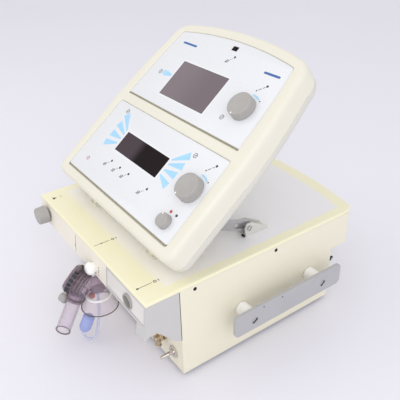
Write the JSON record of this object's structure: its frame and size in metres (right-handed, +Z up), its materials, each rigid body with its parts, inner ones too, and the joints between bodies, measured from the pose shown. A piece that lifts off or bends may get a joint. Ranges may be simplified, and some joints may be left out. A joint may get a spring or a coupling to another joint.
{
  "type": "lung ventilator",
  "caption": "Bench-top lung ventilator: a low steel and plastic case with side rails, a front exhalation valve, and a tilting control display on prop stays.",
  "frame": {"origin": "centre of the base tray's flat underside", "axes": "+Z up, -Y towards the user at the front, +X to the user's right"},
  "size_m": [0.406, 0.4668, 0.4073],
  "materials": {
    "ivory_shell": "moulded, satin, yellowed",
    "case_paint": "powder coat, satin",
    "hood_grey": "moulded, fine texture",
    "printed_film": "printed polyester film, semi-gloss",
    "screen": "dark display window",
    "knob_grey": "moulded, satin",
    "rail_grey": "anodised, satin",
    "steel": "bright",
    "plated_brass": "nickel plated, worn",
    "smoked_plastic": "smoked, clear",
    "clear_plastic": "clear",
    "blue_plastic": "translucent blue",
    "black_plastic": "moulded",
    "rubber": "matt",
    "tray_steel": "zinc plated",
    "circuit_board": "solder resist",
    "cast_alloy": "cast, bead blasted"
  },
  "bodies": {
    "case": {"base_tray": "tray_steel", "side_panel_left": "case_paint", "side_panel_right": "case_paint", "rear_panel": "case_paint", "front_bulkhead": "case_paint", "top_cover": "ivory_shell", "front_hood": "hood_grey", "port_plate": "hood_grey", "inspiratory_port": "clear_plastic", "side_rail_left": "rail_grey", "side_rail_right": "rail_grey", "rail_spacer_left_front": "ivory_shell", "rail_spacer_left_rear": "ivory_shell", "rail_spacer_right_front": "ivory_shell", "rail_spacer_right_rear": "ivory_shell", "foot_front_left": "rubber", "foot_front_right": "rubber", "foot_rear_left": "rubber", "foot_rear_right": "rubber", "hinge_bracket_left": "cast_alloy", "hinge_bracket_right": "cast_alloy", "stay_bracket_left": "cast_alloy", "stay_bracket_right": "cast_alloy", "stay_pin_left": "steel", "stay_pin_right": "steel", "gas_nipple": "steel", "oxygen_fitting": "plated_brass", "valve_body": "smoked_plastic", "outlet_tube": "clear_plastic", "valve_diaphragm": "rubber", "trap_bowl": "clear_plastic", "pressure_port": "knob_grey", "pilot_connector": "blue_plastic", "pilot_hose": "clear_plastic", "mains_inlet": "black_plastic", "power_supply": "cast_alloy", "battery_pack": "black_plastic", "gas_manifold": "cast_alloy", "main_board": "circuit_board", "blower_housing": "black_plastic", "fan_frame": "black_plastic"},
    "display": {"display_bezel": "ivory_shell", "display_rear_cover": "ivory_shell", "lower_panel": "printed_film", "upper_panel": "printed_film", "lower_screen": "screen", "upper_screen": "screen", "display_board": "circuit_board", "hinge_shaft": "steel"},
    "upper_knob": {"upper_knob": "knob_grey"},
    "lower_knob": {"lower_knob": "knob_grey"},
    "small_knob": {"small_knob": "knob_grey"},
    "stay_left": {"stay_arm_left": "tray_steel"},
    "stay_right": {"stay_arm_right": "tray_steel"},
    "flow_knob": {"flow_knob": "knob_grey"},
    "release_button": {"release_button": "ivory_shell"},
    "lock_ring": {"valve_lock_ring": "smoked_plastic"},
    "rocker": {"power_rocker": "black_plastic"},
    "fan": {"fan_rotor": "black_plastic"},
    "blower": {"blower_rotor": "cast_alloy"}
  },
  "joints": [
    {"name": "display_tilt", "type": "hinge", "parent": "case", "child": "display", "pos_m": [0, -0.1276, 0.1738], "axis": [1, 0, 0], "range_deg": [-38.8, 0]},
    {"name": "upper_knob_turn", "type": "hinge", "parent": "display", "child": "upper_knob", "pos_m": [0.1013, 0.0172, 0.3352], "axis": [0, -0.6266, 0.7793], "continuous": true},
    {"name": "lower_knob_turn", "type": "hinge", "parent": "display", "child": "lower_knob", "pos_m": [0.1202, -0.0831, 0.2545], "axis": [0, -0.6266, 0.7793], "continuous": true},
    {"name": "small_knob_turn", "type": "hinge", "parent": "display", "child": "small_knob", "pos_m": [0.119, -0.125, 0.2208], "axis": [0, -0.6266, 0.7793], "continuous": true},
    {"name": "stay_left_swing", "type": "hinge", "parent": "display", "child": "stay_left", "pos_m": [-0.123, -0.0847, 0.2019], "axis": [1, 0, 0], "range_deg": [-0.5, 57.9]},
    {"name": "stay_right_swing", "type": "hinge", "parent": "display", "child": "stay_right", "pos_m": [0.123, -0.0847, 0.2019], "axis": [1, 0, 0], "range_deg": [-0.5, 57.9]},
    {"name": "flow_knob_turn", "type": "hinge", "parent": "case", "child": "flow_knob", "pos_m": [-0.143, -0.2138, 0.131], "axis": [0, -1, 0], "range_deg": [-140, 140]},
    {"name": "release_press", "type": "slide", "parent": "case", "child": "release_button", "axis": [0, 1, 0], "range_m": [0, 0.0025], "stiffness_N_per_m": 400},
    {"name": "lock_ring_turn", "type": "hinge", "parent": "case", "child": "lock_ring", "pos_m": [0.02, -0.211, 0.094], "axis": [-0.7035, -0.5025, 0.5025], "range_deg": [-40, 0]},
    {"name": "rocker_switch", "type": "hinge", "parent": "case", "child": "rocker", "pos_m": [-0.104, 0.14, 0.0535], "axis": [1, 0, 0], "range_deg": [0, 14]},
    {"name": "fan_spin", "type": "hinge", "parent": "case", "child": "fan", "pos_m": [0.096, 0.126, 0.046], "axis": [0, 1, 0], "continuous": true},
    {"name": "blower_spin", "type": "hinge", "parent": "case", "child": "blower", "pos_m": [0.04, 0.053, 0.008], "axis": [0, 0, 1], "continuous": true}
  ],
  "couplings": [
    {"joint": "stay_left_swing", "follows": "display_tilt", "ratio": -1.4794},
    {"joint": "stay_right_swing", "follows": "display_tilt", "ratio": -1.4794}
  ]
}
